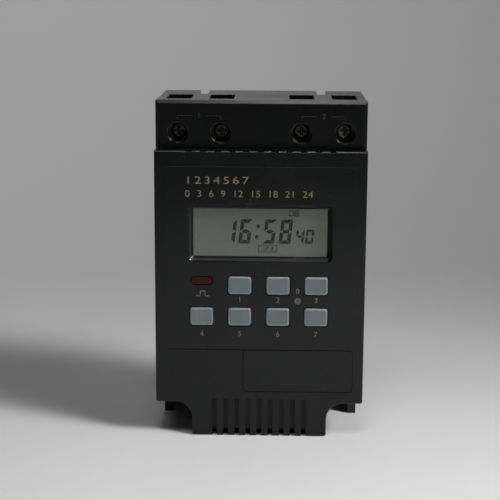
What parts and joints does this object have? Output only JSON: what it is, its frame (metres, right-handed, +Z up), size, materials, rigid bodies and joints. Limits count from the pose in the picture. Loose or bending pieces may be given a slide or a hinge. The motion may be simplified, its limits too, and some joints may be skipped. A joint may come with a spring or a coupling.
{
  "type": "digital timer switch",
  "caption": "Box-shaped programmable mains timer with a liquid crystal display, push keys, a status light and clamp terminals along the top.",
  "frame": {"origin": "middle of the footprint, on the surface that the timer stands on", "axes": "+X to the right seen from the front, +Y from the front to the back, +Z up"},
  "size_m": [0.074, 0.0488, 0.12],
  "materials": {
    "case": "fine-grained black moulding",
    "key": "pale blue-grey moulding with a satin face",
    "window": "clear acrylic",
    "lcd": "grey-green reflective display glass",
    "lens": "dark red transparent moulding",
    "led": "red tinted resin",
    "white_plastic": "white moulding",
    "rubber": "grey silicone with conductive layers",
    "plated_steel": "zinc plated, slightly worn",
    "brass": "rolled strip",
    "board": "green solder resist over glass fibre",
    "chip": "black epoxy with plated legs",
    "switch": "black moulding",
    "relay": "dark blue moulding",
    "copper": "enamelled copper wire",
    "iron": "soft iron, plated",
    "film_capacitor": "amber potting case",
    "can_capacitor": "dark shrink sleeve",
    "varistor": "blue dipped ceramic",
    "resistor": "tan ceramic body",
    "cable": "grey flat cable"
  },
  "bodies": {
    "case": {"rear_case": "case", "front_cover": "case", "terminal_cover": "case", "display_window": "window", "lcd_panel": "lcd", "lcd_frame": "white_plastic", "lcd_contact_strips": "rubber", "status_lens": "lens", "status_led": "led", "key_switches": "switch", "control_board": "board", "power_board": "board", "controller_chip": "chip", "clock_crystal": "plated_steel", "backup_cell": "plated_steel", "cell_tabs": "plated_steel", "link_plugs": "white_plastic", "link_cable": "cable", "relay_base": "relay", "relay_cover": "relay", "relay_coil": "copper", "relay_yoke": "iron", "relay_contact": "brass", "dropper_capacitor": "film_capacitor", "smoothing_capacitor": "can_capacitor", "surge_varistor": "varistor", "rectifier_diodes": "chip", "bleed_resistors": "resistor", "case_screws": "plated_steel", "board_screws": "plated_steel", "terminal_strap_1": "brass", "terminal_strap_2": "brass", "terminal_strap_3": "brass", "terminal_strap_4": "brass"},
    "key_1": {"key_1": "key", "switch_plunger_1": "white_plastic"},
    "key_2": {"key_2": "key", "switch_plunger_2": "white_plastic"},
    "key_3": {"key_3": "key", "switch_plunger_3": "white_plastic"},
    "key_4": {"key_4": "key", "switch_plunger_4": "white_plastic"},
    "key_5": {"key_5": "key", "switch_plunger_5": "white_plastic"},
    "key_6": {"key_6": "key", "switch_plunger_6": "white_plastic"},
    "key_7": {"key_7": "key", "switch_plunger_7": "white_plastic"},
    "reset_key": {"reset_key": "key", "switch_plunger_8": "white_plastic"},
    "clamp_1": {"clamp_washer_1": "plated_steel"},
    "screw_1": {"terminal_screw_1": "plated_steel"},
    "clamp_2": {"clamp_washer_2": "plated_steel"},
    "screw_2": {"terminal_screw_2": "plated_steel"},
    "clamp_3": {"clamp_washer_3": "plated_steel"},
    "screw_3": {"terminal_screw_3": "plated_steel"},
    "clamp_4": {"clamp_washer_4": "plated_steel"},
    "screw_4": {"terminal_screw_4": "plated_steel"},
    "armature": {"relay_armature": "iron"}
  },
  "joints": [
    {"name": "key_1_press", "type": "slide", "parent": "case", "child": "key_1", "axis": [0, 1, 0], "range_m": [0, 0.0005], "stiffness_N_per_m": 1500},
    {"name": "key_2_press", "type": "slide", "parent": "case", "child": "key_2", "axis": [0, 1, 0], "range_m": [0, 0.0005], "stiffness_N_per_m": 1500},
    {"name": "key_3_press", "type": "slide", "parent": "case", "child": "key_3", "axis": [0, 1, 0], "range_m": [0, 0.0005], "stiffness_N_per_m": 1500},
    {"name": "key_4_press", "type": "slide", "parent": "case", "child": "key_4", "axis": [0, 1, 0], "range_m": [0, 0.0005], "stiffness_N_per_m": 1500},
    {"name": "key_5_press", "type": "slide", "parent": "case", "child": "key_5", "axis": [0, 1, 0], "range_m": [0, 0.0005], "stiffness_N_per_m": 1500},
    {"name": "key_6_press", "type": "slide", "parent": "case", "child": "key_6", "axis": [0, 1, 0], "range_m": [0, 0.0005], "stiffness_N_per_m": 1500},
    {"name": "key_7_press", "type": "slide", "parent": "case", "child": "key_7", "axis": [0, 1, 0], "range_m": [0, 0.0005], "stiffness_N_per_m": 1500},
    {"name": "reset_key_press", "type": "slide", "parent": "case", "child": "reset_key", "axis": [0, 1, 0], "range_m": [0, 0.0005], "stiffness_N_per_m": 1500},
    {"name": "clamp_1_travel", "type": "slide", "parent": "case", "child": "clamp_1", "axis": [0, 1, 0], "range_m": [0, 0.0035]},
    {"name": "screw_1_turn", "type": "hinge", "parent": "clamp_1", "child": "screw_1", "pos_m": [-0.02925, -0.00683, 0.1086], "axis": [0, 1, 0], "range_deg": [0, 1800]},
    {"name": "clamp_2_travel", "type": "slide", "parent": "case", "child": "clamp_2", "axis": [0, 1, 0], "range_m": [0, 0.0035]},
    {"name": "screw_2_turn", "type": "hinge", "parent": "clamp_2", "child": "screw_2", "pos_m": [-0.01415, -0.00683, 0.1086], "axis": [0, 1, 0], "range_deg": [0, 1800]},
    {"name": "clamp_3_travel", "type": "slide", "parent": "case", "child": "clamp_3", "axis": [0, 1, 0], "range_m": [0, 0.0035]},
    {"name": "screw_3_turn", "type": "hinge", "parent": "clamp_3", "child": "screw_3", "pos_m": [0.01415, -0.00683, 0.1086], "axis": [0, 1, 0], "range_deg": [0, 1800]},
    {"name": "clamp_4_travel", "type": "slide", "parent": "case", "child": "clamp_4", "axis": [0, 1, 0], "range_m": [0, 0.0035]},
    {"name": "screw_4_turn", "type": "hinge", "parent": "clamp_4", "child": "screw_4", "pos_m": [0.02925, -0.00683, 0.1086], "axis": [0, 1, 0], "range_deg": [0, 1800]},
    {"name": "armature_swing", "type": "hinge", "parent": "case", "child": "armature", "pos_m": [-0.0055, 0.01323, 0.0515], "axis": [0, 0, -1], "range_deg": [0, 3.5], "stiffness_Nm_per_rad": 0.02}
  ],
  "couplings": [
    {"joint": "screw_1_turn", "follows": "clamp_1_travel", "rad_per_m": 8975.9},
    {"joint": "screw_2_turn", "follows": "clamp_2_travel", "rad_per_m": 8975.9},
    {"joint": "screw_3_turn", "follows": "clamp_3_travel", "rad_per_m": 8975.9},
    {"joint": "screw_4_turn", "follows": "clamp_4_travel", "rad_per_m": 8975.9}
  ]
}
